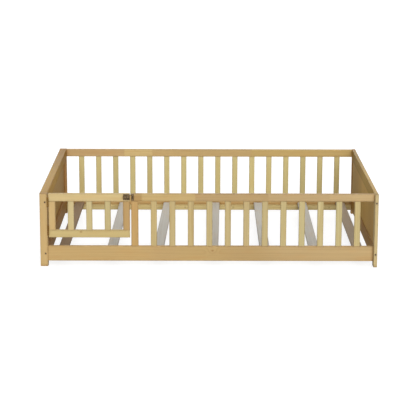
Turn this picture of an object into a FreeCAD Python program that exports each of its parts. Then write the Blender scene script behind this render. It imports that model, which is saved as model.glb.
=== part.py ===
import FreeCAD, Part
import math
import os
import re
import Sketcher

# Floor bed for a small child: two framed ends, a front fence with a gate, a back fence and
# a slatted deck. Millimetres, +Z up, X along the bed, the front at -Y. The origin lies on
# the floor, in the middle of the whole.

V = FreeCAD.Vector
doc = FreeCAD.newDocument("FloorBed")

# ---------------------------------------------------------------- driving sizes

SIZES = [
    ("length", 2000, "over both ends"),
    ("depth", 1430, "front to back over the posts"),
    ("height", 440, "floor to the top of posts and rails"),
    ("left_thick", 45, "left end, along X"),
    ("right_thick", 22, "right end, along X"),
    ("post_deep", 45, "end posts, along Y"),
    ("right_post_out", 16, "right front post in front of the left one"),
    ("post_round", 4.5, "rounding of the outward corners of the posts"),
    ("edge_round", 2.5, "rounding of the other boards"),
    ("end_top_rail_high", 70, "top rails of the ends"),
    ("panel_thick", 12, "end panels"),
    ("left_recess", 17, "left panel behind the inner face of its frame"),
    ("right_recess", 4, "right panel behind the inner face of its frame"),
    ("groove_deep", 8, "panel grooves"),
    ("under_rail", 32, "floor to the underside of the bottom rails"),
    ("bottom_rail_high", 90.5, "bottom rails"),
    ("top_rail_high", 45, "top rail of the front fence"),
    ("back_top_rail_high", 49, "top rail of the back fence"),
    ("rail_thick", 22, "rails of the fences and of the gate"),
    ("rail_set_back", 6, "fence face behind the face of the posts"),
    ("slat_wide", 36, "fence slats"),
    ("slat_thick", 16, "fence slats"),
    ("slat_round", 3, "rounding of the fence slats"),
    ("slat_housing", 10, "depth of a slat's end in its rail"),
    ("front_slat_count", 12, "slats beside the gate"),
    ("back_slat_count", 16, "slats of the back fence"),
    ("front_gap_more", 7.5, "last gap of the front fence, beyond the gaps between its slats"),
    ("back_gap_more", 4, "gap at each end of the back fence, beyond the gaps between its slats"),
    ("gate_post_wide", 42, "post that the gate closes against"),
    ("tenon_long", 16, "tenons of the gate post and stiles"),
    ("tenon_thick", 10, "tenons of the gate post and stiles"),
    ("tenon_shoulder", 7, "shoulder each side of a tenon"),
    ("gate_long", 480, "gate, along X"),
    ("hinge_gap", 7, "left post to gate"),
    ("latch_gap", 8, "gate to gate post"),
    ("gate_gap_below", 51.5, "bottom rail to gate"),
    ("gate_top_rail_high", 47, "gate"),
    ("gate_bottom_rail_high", 45, "gate"),
    ("gate_stile_wide", 40, "gate"),
    ("gate_slat_count", 3, "gate"),
    ("under_ledge", 29, "floor to the underside of the ledges"),
    ("ledge_high", 34, "ledges that carry the floor slats"),
    ("ledge_deep", 30, "ledges that carry the floor slats"),
    ("floor_slat_count", 7, "floor slats"),
    ("floor_slat_wide", 61, "floor slats"),
    ("floor_slat_thick", 13, "floor slats"),
    ("floor_slat_play", 2, "floor slat to rail, at each end"),
    ("first_floor_slat", 82.5, "left inner face to the middle of the first floor slat"),
    ("last_floor_slat", 77.2, "middle of the last floor slat to the right inner face"),
    ("hinge_high", 58, "hinge leaves"),
    ("upper_hinge_inset", 50.5, "top of the gate to the middle of its upper hinge"),
    ("lower_hinge_inset", 43.5, "underside of the gate to the middle of its lower hinge"),
    ("leaf_wide", 22, "hinge leaf behind the fence face"),
    ("leaf_play", 2.4, "between the two leaves"),
    ("knuckle_radius", 4, "hinge knuckles"),
    ("knuckle_count", 5, "hinge knuckles"),
    ("knuckle_play", 0.3, "between two knuckles"),
    ("pin_radius", 2, "hinge pin"),
    ("pin_play", 0.05, "hinge pin in the gate's knuckles, on the radius"),
    ("pin_head", 1.5, "domed ends of the hinge pin"),
    ("hinge_reach", 7, "hinge pin in front of the fence face"),
    ("hinge_screw_pitch", 38, "screws of a hinge leaf"),
    ("hinge_screw_deep", 13, "screws of a hinge leaf, behind the fence face"),
    ("latch_wide", 39, "latch plate, along X"),
    ("latch_high", 37, "latch plate"),
    ("latch_below_top", 20.5, "top of the rails to the bolt's axis"),
    ("latch_plate_thick", 1.6, "latch and keeper plates"),
    ("latch_barrel_radius", 6.5, "barrel of the latch and keeper"),
    ("latch_axis_out", 8.2, "bolt's axis in front of the fence face"),
    ("bolt_radius", 4, "sliding bolt"),
    ("bolt_play", 0.4, "sliding bolt in its barrel, on the radius"),
    ("bolt_throw", 17, "travel of the sliding bolt"),
    ("bolt_inside", 1, "sliding bolt behind the gate's edge when open"),
    ("bolt_tail", 1.5, "latch plate's left edge to the bolt's tail when open"),
    ("knob_from_tail", 10, "knob on the bolt"),
    ("knob_stem_radius", 2.2, "knob's stem"),
    ("knob_radius", 4, "knob's head"),
    ("knob_head", 5, "length of the knob's head"),
    ("knob_out", 14, "knob in front of the bolt's axis"),
    ("slot_play", 0.6, "knob's stem in its slot"),
    ("keeper_wide", 15, "keeper plate, along X"),
    ("keeper_high", 40, "keeper plate"),
    ("keeper_inset", 1.5, "gate post's edge to the keeper"),
    ("keeper_loop", 11, "length of the keeper's loop"),
    ("keeper_screw_pitch", 28, "screws of the keeper"),
    ("latch_screw_edge", 5, "latch screws from the edges of the plate"),
    ("screw_radius", 1.6, "small screws"),
    ("screw_long", 14, "small screws under the head"),
    ("screw_head_radius", 3, "small screws"),
    ("screw_head_high", 1.2, "small screws"),
    ("cross_wide", 0.9, "arms of the driver's cross in the screw heads"),
    ("cross_deep", 0.8, "driver's cross in the screw heads"),
    ("cross_reach", 0.6, "driver's cross, as a share of the head's radius"),
    ("hole_play", 0.1, "a screw or bolt in its hole, on the radius"),
    ("frame_bolt_radius", 3, "bolts of the frame"),
    ("bolt_head_radius", 4.5, "bolts of the frame"),
    ("bolt_head_high", 3.5, "bolts of the frame"),
    ("socket_radius", 2, "hexagon socket in the bolt heads"),
    ("socket_deep", 2.2, "hexagon socket in the bolt heads"),
    ("counterbore_radius", 5, "for the bolt heads"),
    ("counterbore_deep", 6, "for the bolt heads"),
    ("left_bolt_inset", 13.5, "inner face of the left end to its post bolts"),
    ("right_bolt_inset", 11, "inner face of the right end to its post bolts"),
    ("post_bolt_up", 18.5, "underside of the end's top rail to the upper post bolt"),
    ("post_bolt_grip", 35, "post bolt in the end rail"),
    ("rail_bolt_edge", 23, "edge of a bottom rail to its bolts"),
    ("nut_inset", 30, "rail end to the middle of a barrel nut"),
    ("nut_radius", 5, "barrel nuts"),
    ("nut_long", 14, "barrel nuts"),
    ("nut_sunk", 2, "barrel nut below the face of its rail"),
    ("bolt_past_nut", 9, "bolt end past the middle of the barrel nut"),
    ("deck_screw_radius", 2.2, "screws of the deck"),
    ("deck_screw_head_radius", 4, "screws of the deck"),
    ("deck_screw_head_high", 3, "screws of the deck"),
    ("slat_screw_long", 28, "floor slat screws, head included"),
    ("ledge_screw_long", 44, "ledge screws, head included"),
    ("ledge_screw_count", 6, "screws of a ledge"),
    ("ledge_screw_end", 150, "inner face of an end to the nearest ledge screw"),
]

# The floor slats lie a little off an even pitch and off square, as laid by hand: along X
# from their even place, and the degrees by which the far end swings toward +X.
FLOOR_SLATS_LIE = ((0, 0.3), (1, 0.7), (-5, 1.6), (24, 1.1), (31, 0.35), (33, 0.4), (0, 0.1))

sizes = doc.addObject("Spreadsheet::Sheet", "Sizes")
for line, (alias, value, meaning) in enumerate(SIZES, start=1):
    sizes.set(f"A{line}", alias)
    sizes.set(f"B{line}", str(value))
    sizes.setAlias(f"B{line}", alias)
    sizes.set(f"C{line}", meaning)

# ---------------------------------------------------------------- places that follow

PLACES = [
    # the box of the bed
    ("left_outer", "-length / 2"),
    ("left_inner", "left_outer + left_thick"),
    ("right_outer", "length / 2"),
    ("right_inner", "right_outer - right_thick"),
    ("bay", "right_inner - left_inner"),
    ("knob_reach", "latch_axis_out + knob_out - rail_set_back"),
    ("front", "-(depth - knob_reach) / 2"),
    ("back", "front + depth"),
    ("fence_front", "front + rail_set_back"),
    ("fence_front_in", "fence_front + rail_thick"),
    ("fence_back_in", "back - rail_set_back - rail_thick"),
    ("front_post_in", "front + post_deep"),
    ("right_front", "front - right_post_out"),
    ("right_front_deep", "post_deep + right_post_out"),
    ("rear_post_in", "back - post_deep"),
    ("end_rail_long", "rear_post_in - front_post_in"),
    ("bottom_rail_top", "under_rail + bottom_rail_high"),
    ("top_rail_under", "height - top_rail_high"),
    ("back_top_rail_under", "height - back_top_rail_high"),
    ("end_top_rail_under", "height - end_top_rail_high"),
    # end panels
    ("left_panel", "left_inner - left_recess - panel_thick"),
    ("right_panel", "right_inner + right_recess"),
    ("panel_low", "bottom_rail_top - groove_deep"),
    ("panel_high", "end_top_rail_under + groove_deep - panel_low"),
    # gate
    ("gate_left", "left_inner + hinge_gap"),
    ("gate_right", "gate_left + gate_long"),
    ("gate_post_left", "gate_right + latch_gap"),
    ("gate_post_right", "gate_post_left + gate_post_wide"),
    ("gate_under", "bottom_rail_top + gate_gap_below"),
    ("gate_top_rail_under", "height - gate_top_rail_high"),
    ("gate_bottom_rail_top", "gate_under + gate_bottom_rail_high"),
    ("gate_open", "gate_long - 2 * gate_stile_wide"),
    # slats
    ("slat_face", "(rail_thick - slat_thick) / 2"),
    ("front_run", "right_inner - gate_post_right"),
    ("front_gap", "(front_run - front_gap_more - front_slat_count * slat_wide) / (front_slat_count + 1)"),
    ("front_pitch", "front_gap + slat_wide"),
    ("back_gap", "(bay - 2 * back_gap_more - back_slat_count * slat_wide) / (back_slat_count + 1)"),
    ("back_pitch", "back_gap + slat_wide"),
    ("gate_slat_gap", "(gate_open - gate_slat_count * slat_wide) / (gate_slat_count + 1)"),
    ("gate_pitch", "gate_slat_gap + slat_wide"),
    ("fence_slat_low", "bottom_rail_top - slat_housing"),
    ("front_slat_long", "top_rail_under + slat_housing - fence_slat_low"),
    ("back_slat_long", "back_top_rail_under + slat_housing - fence_slat_low"),
    ("gate_slat_low", "gate_bottom_rail_top - slat_housing"),
    ("gate_slat_long", "gate_top_rail_under + slat_housing - gate_slat_low"),
    ("tenon_face", "(rail_thick - tenon_thick) / 2"),
    # deck
    ("ledge_top", "under_ledge + ledge_high"),
    ("deck_top", "ledge_top + floor_slat_thick"),
    ("floor_slat_long", "fence_back_in - fence_front_in - 2 * floor_slat_play"),
    ("deck_middle", "(fence_front_in + fence_back_in) / 2"),
    ("floor_pitch", "(bay - first_floor_slat - last_floor_slat) / (floor_slat_count - 1)"),
    ("slat_screw_in", "ledge_deep / 2 - floor_slat_play"),
    ("slat_screw_half", "floor_slat_long / 2 - slat_screw_in"),
    ("ledge_screw_pitch", "(bay - 2 * ledge_screw_end) / (ledge_screw_count - 1)"),
    ("ledge_screw_z", "under_ledge + ledge_high / 2"),
    # bolts of the frame
    ("left_post_bolt", "left_inner - left_bolt_inset"),
    ("right_post_bolt", "right_inner + right_bolt_inset"),
    ("post_bolt_low", "under_rail + bottom_rail_high / 2"),
    ("post_bolt_high", "end_top_rail_under + post_bolt_up"),
    ("rail_bolt_low", "under_rail + rail_bolt_edge"),
    ("rail_bolt_mid", "bottom_rail_top - rail_bolt_edge"),
    ("rail_bolt_top", "height - top_rail_high / 2"),
    ("bolt_hole_radius", "frame_bolt_radius + hole_play"),
    ("nut_hole_radius", "nut_radius + hole_play"),
    # hinges
    ("hinge_x", "left_inner + hinge_gap / 2"),
    ("hinge_y", "fence_front - hinge_reach"),
    ("upper_hinge_z", "height - upper_hinge_inset"),
    ("lower_hinge_z", "gate_under + lower_hinge_inset"),
    ("leaf_thick", "(hinge_gap - leaf_play) / 2"),
    ("knuckle_pitch", "hinge_high / knuckle_count"),
    ("knuckle_long", "knuckle_pitch - knuckle_play"),
    ("hinge_screw_y", "fence_front + hinge_screw_deep"),
    ("screw_hole_radius", "screw_radius + hole_play"),
    # latch
    ("latch_left", "gate_right - latch_wide"),
    ("latch_y", "fence_front - latch_axis_out"),
    ("latch_z", "height - latch_below_top"),
    ("keeper_left", "gate_post_left + keeper_inset"),
    ("latch_bore_radius", "bolt_radius + bolt_play"),
    ("bolt_left", "latch_left + bolt_tail"),
    ("bolt_long", "gate_right - bolt_inside - bolt_left"),
    ("knob_x", "bolt_left + knob_from_tail"),
]

KNOWN = {alias: "Sizes" for alias, value, meaning in SIZES}
KNOWN.update({alias: "Places" for alias, formula in PLACES})


def linked(text):
    """Put each known name in a formula together with the sheet that holds it."""
    return re.sub(r"[a-z]\w*", lambda word: f"{KNOWN[word[0]]}.{word[0]}", text)


def linked_here(text):
    """The same for a formula inside the sheet of places, whose own names stay bare."""
    return linked(text).replace("Places.", "")


places = doc.addObject("Spreadsheet::Sheet", "Places")
for line, (alias, formula) in enumerate(PLACES, start=1):
    places.set(f"A{line}", alias)
    places.set(f"B{line}", "=" + linked_here(formula))
    places.setAlias(f"B{line}", alias)
doc.recompute()


def number(alias):
    """Today's value of a size or place."""
    sheet = sizes if KNOWN[alias] == "Sizes" else places
    return float(sheet.get(alias))


# ---------------------------------------------------------------- sketches and features

PLANE_ACROSS = {"X": "YZ_Plane", "Y": "XZ_Plane", "Z": "XY_Plane"}
DIRECTION = {"X": V(1, 0, 0), "Y": V(0, 1, 0), "Z": V(0, 0, 1)}
TOLERANCE = 1e-6
parts = []


def origin_feature(piece, role):
    return [feature for feature in piece.Origin.OriginFeatures if feature.Role == role][0]


def place(piece, x, y, z):
    """Tie an object's position to three formulas."""
    for letter, formula in (("x", x), ("y", y), ("z", z)):
        piece.setExpression(f"Placement.Base.{letter}", linked(formula))


def wooden(label, x, y, z):
    """An empty body whose corner stands at x, y, z."""
    piece = doc.addObject("PartDesign::Body", label)
    piece.Label = label
    place(piece, x, y, z)
    parts.append(piece)
    return piece


def sketch(piece, axis, start="0"):
    """A sketch across an axis of the body, at a distance from its corner."""
    drawing = piece.newObject("Sketcher::SketchObject", "Sketch")
    drawing.AttachmentSupport = (origin_feature(piece, PLANE_ACROSS[axis]), [""])
    drawing.MapMode = "FlatFace"
    if start != "0":
        sign = "-1 * " if axis == "Y" else ""
        drawing.setExpression("AttachmentOffset.Base.z", f"{sign}({linked(start)})")
    return drawing


def bind(drawing, kind, geometry, formula, guess):
    """Add a dimension that follows a formula."""
    index = drawing.addConstraint(Sketcher.Constraint(kind, *geometry, guess))
    name = f"size{index}"
    drawing.renameConstraint(index, name)
    drawing.setExpression(f"Constraints.{name}", linked(formula))


def pin_down(drawing, geometry, point, left, low, guess):
    """Hold a point at left, low from the sketch's origin, or on an axis where that is 0."""
    for kind, axis, formula in (("DistanceX", -2, left), ("DistanceY", -1, low)):
        if formula == "0":
            drawing.addConstraint(Sketcher.Constraint("PointOnObject", geometry, point, axis))
        else:
            bind(drawing, kind, (-1, 1, geometry, point), formula, guess)


def rectangle(drawing, wide, high, left="0", low="0"):
    guess = 10.0
    corners = [V(guess, guess, 0), V(3 * guess, guess, 0), V(3 * guess, 3 * guess, 0), V(guess, 3 * guess, 0)]
    first = drawing.GeometryCount
    for n in range(4):
        drawing.addGeometry(Part.LineSegment(corners[n], corners[(n + 1) % 4]), False)
    for n in range(4):
        after = first + (n + 1) % 4
        drawing.addConstraint(Sketcher.Constraint("Coincident", first + n, 2, after, 1))
        drawing.addConstraint(Sketcher.Constraint("Vertical" if n % 2 else "Horizontal", first + n))
    pin_down(drawing, first, 1, left, low, guess)
    bind(drawing, "DistanceX", (first, 1, first, 2), wide, 2 * guess)
    bind(drawing, "DistanceY", (first + 1, 1, first + 1, 2), high, 2 * guess)


def circle(drawing, radius, left, low):
    guess = 10.0
    ring = drawing.addGeometry(Part.Circle(V(guess, guess, 0), V(0, 0, 1), guess / 4), False)
    pin_down(drawing, ring, 3, left, low, guess)
    bind(drawing, "Radius", (ring,), radius, guess / 4)


def pad(piece, drawing, axis, long):
    solid = piece.newObject("PartDesign::Pad", "Pad")
    solid.Profile = drawing
    solid.Reversed = axis == "Y"
    solid.setExpression("Length", linked(long))
    return solid


def pocket(piece, drawing, axis, deep, forward=True):
    """Cut a sketch into the solid, along its axis or against it."""
    cut = piece.newObject("PartDesign::Pocket", "Pocket")
    cut.Profile = drawing
    cut.Reversed = forward != (axis == "Y")
    cut.setExpression("Length", linked(deep))
    return cut


def row(piece, feature, count, pitch):
    """Repeat a cut along the board's X axis."""
    pattern = piece.newObject("PartDesign::LinearPattern", "Row")
    pattern.Originals = [feature]
    pattern.Direction = (origin_feature(piece, "X_Axis"), [""])
    pattern.setExpression("Length", linked(f"({count} - 1) * {pitch}"))
    pattern.setExpression("Occurrences", linked(count))
    piece.Tip = pattern


def edges_along(shape, axis, wanted=None):
    """Names of the straight edges along an axis, those that wanted keeps."""
    names = []
    for index, edge in enumerate(shape.Edges, start=1):
        run = edge.Vertexes[-1].Point - edge.Vertexes[0].Point
        straight = isinstance(edge.Curve, Part.Line)
        along = run.cross(DIRECTION[axis]).Length < TOLERANCE
        if straight and along and (wanted is None or wanted(edge.CenterOfMass)):
            names.append(f"Edge{index}")
    return names


def ease(piece, names, radius):
    """Round named edges of the body's last feature."""
    rounding = piece.newObject("PartDesign::Fillet", "Rounding")
    rounding.Base = (piece.Group[-2], names)
    rounding.setExpression("Radius", linked(radius))


def board(label, corner, axis, section, long, radius="edge_round"):
    """A board with its four long edges rounded, drawn across its length."""
    piece = wooden(label, *corner)
    drawing = sketch(piece, axis)
    rectangle(drawing, *section)
    pad(piece, drawing, axis, long)
    doc.recompute()
    ease(piece, edges_along(piece.Tip.Shape, axis), radius)
    return piece


def drill(piece, axis, start, centres, radius, deep, forward=True):
    """Round holes along an axis, from a plane across it."""
    drawing = sketch(piece, axis, start)
    for left, low in centres:
        circle(drawing, radius, left, low)
    return pocket(piece, drawing, axis, deep, forward)


def recess(piece, axis, start, section, corner, deep, forward=True):
    """A rectangular recess, groove or mortise."""
    drawing = sketch(piece, axis, start)
    rectangle(drawing, *section, *corner)
    return pocket(piece, drawing, axis, deep, forward)


def tenons(piece, wide, long):
    """A tongue that runs through an upright board and stands out at both ends."""
    drawing = sketch(piece, "Z", "-tenon_long")
    rectangle(drawing, f"{wide} - 2 * tenon_shoulder", "tenon_thick", "tenon_shoulder", "tenon_face")
    pad(piece, drawing, "Z", f"{long} + 2 * tenon_long")


def mortise(piece, start, left, wide, forward):
    """The place of a tenon in the upper or lower edge of a rail."""
    section = (f"{wide} - 2 * tenon_shoulder", "tenon_thick")
    recess(piece, "Z", start, section, (f"{left} + tenon_shoulder", "tenon_face"), "tenon_long", forward)


def slat_row(piece, start, first, count, pitch, forward):
    """The row of housings that holds the ends of upright slats."""
    cut = recess(piece, "Z", start, ("slat_wide", "slat_thick"), (first, "slat_face"), "slat_housing", forward)
    row(piece, cut, count, pitch)


# ---------------------------------------------------------------- the two ends

ENDS = {
    "left": {
        "outer": "left_outer", "corner": "left_outer", "thick": "left_thick",
        "panel": "left_panel", "bolt": "left_post_bolt", "front": "front", "front_deep": "post_deep",
    },
    "right": {
        "outer": "right_outer", "corner": "right_inner", "thick": "right_thick",
        "panel": "right_panel", "bolt": "right_post_bolt",
        "front": "right_front", "front_deep": "right_front_deep",
    },
}


def end_post(side, end, which):
    """An upright of an end, with its foot, its panel groove and its bolt holes."""
    at_front = which == "front"
    near = end["front"] if at_front else "rear_post_in"
    deep = end["front_deep"] if at_front else "post_deep"
    post = wooden(f"{side}_{which}_post", end["corner"], near, "0")
    drawing = sketch(post, "Z")
    rectangle(drawing, end["thick"], deep)
    pad(post, drawing, "Z", "height")
    doc.recompute()
    outward = 0.0 if at_front else number(deep)
    corners = edges_along(post.Tip.Shape, "Z", lambda middle: abs(middle.y - outward) < TOLERANCE)
    ease(post, corners, "post_round")

    groove_from = deep if at_front else "0"
    section = ("panel_thick", "panel_high")
    corner = (f"{end['panel']} - {end['corner']}", "panel_low")
    recess(post, "Y", groove_from, section, corner, "groove_deep", not at_front)

    bolt_x = f"{end['bolt']} - {end['corner']}"
    bolts = [(bolt_x, "post_bolt_low"), (bolt_x, "post_bolt_high")]
    face = "0" if at_front else deep
    drill(post, "Y", face, bolts, "counterbore_radius", "counterbore_deep", at_front)
    drill(post, "Y", face, bolts, "bolt_hole_radius", deep, at_front)

    fence = "fence_front" if at_front else "fence_back_in"
    local_y = f"{fence} + rail_thick / 2 - {near}"
    heights = ["rail_bolt_low", "rail_bolt_mid"]
    if not (side == "left" and at_front):
        heights.append("rail_bolt_top")
    rails = [(local_y, level) for level in heights]
    outer = "0" if side == "left" else end["thick"]
    drill(post, "X", outer, rails, "counterbore_radius", "counterbore_deep", side == "left")
    drill(post, "X", outer, rails, "bolt_hole_radius", end["thick"], side == "left")
    return post


def end_rail(side, end, which):
    """A rail of an end, between its posts, grooved for the panel."""
    at_top = which == "top"
    low = "end_top_rail_under" if at_top else "under_rail"
    high = "end_top_rail_high" if at_top else "bottom_rail_high"
    label = f"{side}_{which}_rail"
    rail = board(label, (end["corner"], "front_post_in", low), "Y", (end["thick"], high), "end_rail_long")
    section = ("panel_thick", "end_rail_long")
    corner = (f"{end['panel']} - {end['corner']}", "0")
    recess(rail, "Z", "0" if at_top else high, section, corner, "groove_deep", at_top)
    level = "post_bolt_high" if at_top else "post_bolt_low"
    bolt = [(f"{end['bolt']} - {end['corner']}", f"{level} - {low}")]
    drill(rail, "Y", "0", bolt, "bolt_hole_radius", "post_bolt_grip + hole_play")
    drill(rail, "Y", "end_rail_long", bolt, "bolt_hole_radius", "post_bolt_grip + hole_play", False)
    return rail


def end_panel(side, end):
    """The thin panel that sits in the grooves of its frame."""
    panel = wooden(f"{side}_panel", end["panel"], "front_post_in - groove_deep", "panel_low")
    drawing = sketch(panel, "Z")
    rectangle(drawing, "panel_thick", "end_rail_long + 2 * groove_deep")
    pad(panel, drawing, "Z", "panel_high")
    return panel


for side, end in ENDS.items():
    end_post(side, end, "front")
    end_post(side, end, "rear")
    end_rail(side, end, "top")
    end_rail(side, end, "bottom")
    end_panel(side, end)

# ---------------------------------------------------------------- the two fences


def nut_and_bolt_holes(rail, long, heights, ends, nuts_from, forward):
    """Holes for the bolts in the ends of a rail, and across them for the barrel nuts."""
    across = [("rail_thick / 2", level) for level in heights]
    deep = "nut_inset + bolt_past_nut + hole_play"
    if "left" in ends:
        drill(rail, "X", "0", across, "bolt_hole_radius", deep)
    if "right" in ends:
        drill(rail, "X", long, across, "bolt_hole_radius", deep, False)
    inset = {"left": "nut_inset", "right": f"{long} - nut_inset"}
    nuts = [(inset[side], level) for side in ends for level in heights]
    drill(rail, "Y", nuts_from, nuts, "nut_hole_radius", "nut_long + nut_sunk", forward)


def ledge_screw_holes(piece, start, deep, forward, level):
    """The row of screw holes that runs along a ledge and the rail behind it."""
    cut = drill(piece, "Y", start, [("ledge_screw_end", level)], "deck_screw_radius + hole_play", deep, forward)
    row(piece, cut, "ledge_screw_count", "ledge_screw_pitch")


BOTTOM_BOLTS = ["rail_bolt_edge", "bottom_rail_high - rail_bolt_edge"]
TOP_BOLT = ["top_rail_high / 2"]
LEDGE_GRIP = "ledge_screw_long - ledge_deep + hole_play"

front_bottom = board(
    "front_bottom_rail", ("left_inner", "fence_front", "under_rail"), "X",
    ("rail_thick", "bottom_rail_high"), "bay",
)
slat_row(front_bottom, "bottom_rail_high", "gate_post_right - left_inner + front_gap",
         "front_slat_count", "front_pitch", False)
mortise(front_bottom, "bottom_rail_high", "gate_post_left - left_inner", "gate_post_wide", False)
nut_and_bolt_holes(front_bottom, "bay", BOTTOM_BOLTS, ("left", "right"), "rail_thick", False)
ledge_screw_holes(front_bottom, "rail_thick", LEDGE_GRIP, False, "ledge_screw_z - under_rail")

front_top = board(
    "front_top_rail", ("gate_post_left", "fence_front", "top_rail_under"), "X",
    ("rail_thick", "top_rail_high"), "right_inner - gate_post_left",
)
slat_row(front_top, "0", "gate_post_wide + front_gap", "front_slat_count", "front_pitch", True)
mortise(front_top, "0", "0", "gate_post_wide", True)
nut_and_bolt_holes(front_top, "right_inner - gate_post_left", TOP_BOLT, ("right",), "rail_thick", False)

gate_post_long = "top_rail_under - bottom_rail_top"
gate_post = board(
    "gate_post", ("gate_post_left", "fence_front", "bottom_rail_top"), "Z",
    ("gate_post_wide", "rail_thick"), gate_post_long,
)
tenons(gate_post, "gate_post_wide", gate_post_long)

back_bottom = board(
    "back_bottom_rail", ("left_inner", "fence_back_in", "under_rail"), "X",
    ("rail_thick", "bottom_rail_high"), "bay",
)
slat_row(back_bottom, "bottom_rail_high", "back_gap_more + back_gap", "back_slat_count", "back_pitch", False)
nut_and_bolt_holes(back_bottom, "bay", BOTTOM_BOLTS, ("left", "right"), "rail_thick", False)
ledge_screw_holes(back_bottom, "0", LEDGE_GRIP, True, "ledge_screw_z - under_rail")

back_top = board(
    "back_top_rail", ("left_inner", "fence_back_in", "back_top_rail_under"), "X",
    ("rail_thick", "back_top_rail_high"), "bay",
)
slat_row(back_top, "0", "back_gap_more + back_gap", "back_slat_count", "back_pitch", True)
nut_and_bolt_holes(back_top, "bay", ["rail_bolt_top - back_top_rail_under"], ("left", "right"),
                   "rail_thick", False)


def upright_slat(label, x, y, z, long):
    return board(label, (x, y, z), "Z", ("slat_wide", "slat_thick"), long, "slat_round")


for n in range(int(number("front_slat_count"))):
    upright_slat(f"front_slat_{n + 1:02d}", f"gate_post_right + front_gap + {n} * front_pitch",
                 "fence_front + slat_face", "fence_slat_low", "front_slat_long")


def free_copy(piece):
    """A finished body's shape, in the common frame."""
    return piece.Shape.copy()


def grouped(label, shapes):
    """Separate solids that share one node."""
    group = doc.addObject("Part::Feature", label)
    group.Label = label
    group.Shape = Part.makeCompound(shapes)
    parts.append(group)
    return group


def back_slats():
    """The slats of the back fence, copied along it from one body."""
    first = upright_slat("back_slat_pattern", "left_inner + back_gap_more + back_gap",
                         "fence_back_in + slat_face", "fence_slat_low", "back_slat_long")
    parts.remove(first)
    doc.recompute()
    slats = []
    for n in range(int(number("back_slat_count"))):
        slat = free_copy(first)
        slat.translate(V(n * number("back_pitch"), 0, 0))
        slats.append(slat)
    grouped("back_slats", slats)


back_slats()

# ---------------------------------------------------------------- the deck


def slat_lie(n):
    """How far a floor slat lies from its even place, and its skew in degrees."""
    return FLOOR_SLATS_LIE[n] if n < len(FLOOR_SLATS_LIE) else (0, 0)


def on_slat(n, right, along):
    """The x and y of a point of a floor slat, from the slat's own middle."""
    nudge, skew = slat_lie(n)
    sine = f"{math.sin(math.radians(skew)):.6f}"
    cosine = f"{math.cos(math.radians(skew)):.6f}"
    middle = f"left_inner + first_floor_slat + {n} * floor_pitch + {nudge}"
    return (f"{middle} + ({right}) * {cosine} + ({along}) * {sine}",
            f"deck_middle - ({right}) * {sine} + ({along}) * {cosine}")


SLAT_ENDS = {"front": "-1 * slat_screw_half", "back": "slat_screw_half"}


def ledge(side, y):
    """A cleat along a bottom rail, with the screw holes of the slats and of its own."""
    piece = board(f"{side}_ledge", ("left_inner", y, "under_ledge"), "X", ("ledge_deep", "ledge_high"), "bay")
    spots = [on_slat(n, "0", SLAT_ENDS[side]) for n in range(int(number("floor_slat_count")))]
    holes = [(f"{spot_x} - left_inner", f"{spot_y} - ({y})") for spot_x, spot_y in spots]
    grip = "slat_screw_long - floor_slat_thick + hole_play"
    drill(piece, "Z", "ledge_high", holes, "deck_screw_radius + hole_play", grip, False)
    inner = "ledge_deep" if side == "front" else "0"
    level = "ledge_screw_z - under_ledge"
    ledge_screw_holes(piece, inner, "ledge_deep", side == "back", level)
    heads = drill(piece, "Y", inner, [("ledge_screw_end", level)], "deck_screw_head_radius + hole_play",
                  "deck_screw_head_high", side == "back")
    row(piece, heads, "ledge_screw_count", "ledge_screw_pitch")
    return piece


ledge("front", "fence_front_in")
ledge("back", "fence_back_in - ledge_deep")


def floor_slat(n):
    x, y = on_slat(n, "-1 * floor_slat_wide / 2", "-1 * floor_slat_long / 2")
    slat = board(f"floor_slat_{n + 1}", (x, y, "ledge_top"), "Y",
                 ("floor_slat_wide", "floor_slat_thick"), "floor_slat_long")
    slat.Placement = FreeCAD.Placement(V(), FreeCAD.Rotation(V(0, 0, 1), -slat_lie(n)[1]))
    middle = "floor_slat_wide / 2"
    ends = [(middle, "slat_screw_in"), (middle, "floor_slat_long - slat_screw_in")]
    drill(slat, "Z", "0", ends, "deck_screw_radius + hole_play", "floor_slat_thick")
    drill(slat, "Z", "floor_slat_thick", ends, "deck_screw_head_radius + hole_play",
          "deck_screw_head_high", False)
    return slat


for n in range(int(number("floor_slat_count"))):
    floor_slat(n)

# ---------------------------------------------------------------- the gate

HINGES = {"upper": "upper_hinge_z", "lower": "lower_hinge_z"}
HINGE_SCREWS = [
    f"{level} {sign} hinge_screw_pitch / 2" for level in HINGES.values() for sign in ("+", "-")
]
LATCH_SCREWS = [
    (x, z)
    for x in ("latch_left + latch_screw_edge", "gate_right - latch_screw_edge")
    for z in ("latch_z + latch_high / 2 - latch_screw_edge", "latch_z - latch_high / 2 + latch_screw_edge")
]
KEEPER_SCREWS = [
    ("keeper_left + keeper_wide / 2", f"latch_z {sign} keeper_screw_pitch / 2") for sign in ("+", "-")
]
SCREW_GRIP = "screw_long + hole_play"


def hinge_screw_holes(piece, low):
    """The holes of the gate's hinge screws, where they pass through this piece."""
    centres = [("hinge_screw_deep", f"{level} - {low}") for level in HINGE_SCREWS]
    drill(piece, "X", "0", centres, "screw_hole_radius", SCREW_GRIP)


def plate_screw_holes(piece, left, low, screws):
    """The holes of the latch or keeper screws, where they pass through this piece."""
    centres = [(f"{x} - ({left})", f"{z} - {low}") for x, z in screws]
    drill(piece, "Y", "0", centres, "screw_hole_radius", SCREW_GRIP)


def gate_rail(label, low, high, inner_edge, slats_forward):
    """A rail of the gate, over its whole length, with housings for the slats and stiles."""
    rail = board(label, ("gate_left", "fence_front", low), "X", ("rail_thick", high), "gate_long")
    first = "gate_stile_wide + gate_slat_gap"
    slat_row(rail, inner_edge, first, "gate_slat_count", "gate_pitch", slats_forward)
    for left in ("0", "gate_long - gate_stile_wide"):
        mortise(rail, inner_edge, left, "gate_stile_wide", slats_forward)
    return rail


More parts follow.
